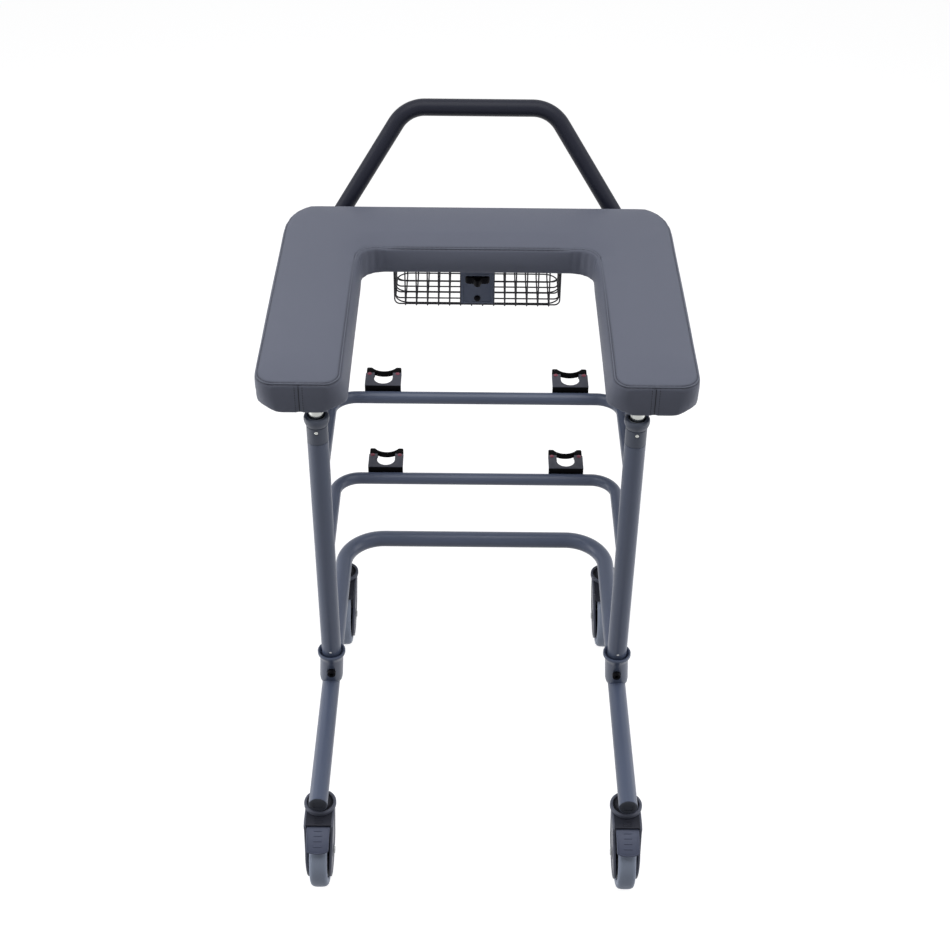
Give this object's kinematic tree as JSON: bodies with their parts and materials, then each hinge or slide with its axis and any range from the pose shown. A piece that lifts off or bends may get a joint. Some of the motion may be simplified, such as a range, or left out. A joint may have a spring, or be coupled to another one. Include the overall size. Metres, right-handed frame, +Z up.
{
  "type": "forearm walker",
  "caption": "Wheeled walker with telescopic posts, a padded U-shaped forearm rest, a bent tube handle, a small wire basket, swivel casters and holders for sticks on two rails.",
  "frame": {"origin": "on the floor, in the middle of the walker's length and width", "axes": "+X to the right of the user, who stands at -Y between the pad's arms; +Y the way the walker is pushed; +Z up"},
  "size_m": [0.714, 1.0757, 1.0005],
  "materials": {
    "frame_paint": "satin slate-grey powder coat",
    "handle_paint": "satin near-black powder coat",
    "wire_paint": "satin near-black powder coat",
    "chrome": "polished",
    "steel": "zinc plated",
    "black_plastic": "matt",
    "grey_plastic": "matt",
    "black_rubber": "matt",
    "tread": "matt grey rubber",
    "vinyl": "matt vinyl over foam",
    "plywood": "plain"
  },
  "bodies": {
    "frame": {"base_tube": "frame_paint", "upper_rail": "frame_paint", "lower_rail": "frame_paint", "base_plug_left": "black_plastic", "base_plug_right": "black_plastic", "post_socket_left": "frame_paint", "post_socket_right": "frame_paint", "socket_bolt_left": "black_plastic", "socket_bolt_right": "black_plastic", "post_left": "frame_paint", "post_right": "frame_paint", "post_collar_left": "grey_plastic", "post_collar_right": "grey_plastic", "clamp_screw_left": "chrome", "clamp_screw_right": "chrome", "clip_body_upper_left": "grey_plastic", "clip_body_upper_right": "grey_plastic", "clip_body_lower_left": "grey_plastic", "clip_body_lower_right": "grey_plastic", "clip_grip_upper_left": "black_rubber", "clip_grip_upper_right": "black_rubber", "clip_grip_lower_left": "black_rubber", "clip_grip_lower_right": "black_rubber", "caster_head_near_left": "steel", "caster_head_near_right": "steel", "caster_head_far_left": "steel", "caster_head_far_right": "steel"},
    "caster_near_left": {"fork_near_left": "black_plastic", "wheel_axle_near_left": "steel"},
    "wheel_near_left": {"tyre_near_left": "tread", "wheel_hub_near_left": "grey_plastic"},
    "caster_near_right": {"fork_near_right": "black_plastic", "wheel_axle_near_right": "steel"},
    "wheel_near_right": {"tyre_near_right": "tread", "wheel_hub_near_right": "grey_plastic"},
    "caster_far_left": {"fork_far_left": "black_plastic", "wheel_axle_far_left": "steel"},
    "wheel_far_left": {"tyre_far_left": "tread", "wheel_hub_far_left": "grey_plastic"},
    "caster_far_right": {"fork_far_right": "black_plastic", "wheel_axle_far_right": "steel"},
    "wheel_far_right": {"tyre_far_right": "tread", "wheel_hub_far_right": "grey_plastic"},
    "pedal_near_left": {"brake_pedal_near_left": "grey_plastic"},
    "pedal_near_right": {"brake_pedal_near_right": "grey_plastic"},
    "armrest": {"pad_cushion": "vinyl", "pad_board": "plywood", "mount_plate": "frame_paint", "handle_tube": "handle_paint", "handle_plug_left": "black_plastic", "handle_plug_right": "black_plastic", "inner_tube_left": "chrome", "inner_tube_right": "chrome", "guide_bush_left": "black_plastic", "guide_bush_right": "black_plastic", "basket_bracket": "frame_paint", "basket_bolt": "black_plastic", "clamp_strip": "steel", "basket": "wire_paint"},
    "star_knob": {"star_knob": "black_plastic"}
  },
  "joints": [
    {"name": "swivel_near_left", "type": "hinge", "parent": "frame", "child": "caster_near_left", "pos_m": [-0.262, -0.4404, 0.145], "axis": [0, 0, 1], "continuous": true},
    {"name": "wheel_spin_near_left", "type": "hinge", "parent": "caster_near_left", "child": "wheel_near_left", "pos_m": [-0.262, -0.4754, 0.0625], "axis": [1, 0, 0], "continuous": true},
    {"name": "swivel_near_right", "type": "hinge", "parent": "frame", "child": "caster_near_right", "pos_m": [0.262, -0.4404, 0.145], "axis": [0, 0, 1], "continuous": true},
    {"name": "wheel_spin_near_right", "type": "hinge", "parent": "caster_near_right", "child": "wheel_near_right", "pos_m": [0.262, -0.4754, 0.0625], "axis": [1, 0, 0], "continuous": true},
    {"name": "swivel_far_left", "type": "hinge", "parent": "frame", "child": "caster_far_left", "pos_m": [-0.262, 0.161, 0.145], "axis": [0, 0, 1], "continuous": true},
    {"name": "wheel_spin_far_left", "type": "hinge", "parent": "caster_far_left", "child": "wheel_far_left", "pos_m": [-0.262, 0.126, 0.0625], "axis": [1, 0, 0], "continuous": true},
    {"name": "swivel_far_right", "type": "hinge", "parent": "frame", "child": "caster_far_right", "pos_m": [0.262, 0.161, 0.145], "axis": [0, 0, 1], "continuous": true},
    {"name": "wheel_spin_far_right", "type": "hinge", "parent": "caster_far_right", "child": "wheel_far_right", "pos_m": [0.262, 0.126, 0.0625], "axis": [1, 0, 0], "continuous": true},
    {"name": "brake_pedal_left", "type": "hinge", "parent": "caster_near_left", "child": "pedal_near_left", "pos_m": [-0.262, -0.48163, 0.13373], "axis": [1, 0, 0], "range_deg": [0, 7]},
    {"name": "brake_pedal_right", "type": "hinge", "parent": "caster_near_right", "child": "pedal_near_right", "pos_m": [0.262, -0.48163, 0.13373], "axis": [1, 0, 0], "range_deg": [0, 7]},
    {"name": "armrest_height", "type": "slide", "parent": "frame", "child": "armrest", "axis": [0, 0, 1], "range_m": [0, 0.3]},
    {"name": "star_knob_turn", "type": "hinge", "parent": "armrest", "child": "star_knob", "pos_m": [0, 0.2988, 0.747], "axis": [0, 0, 1], "continuous": true}
  ]
}
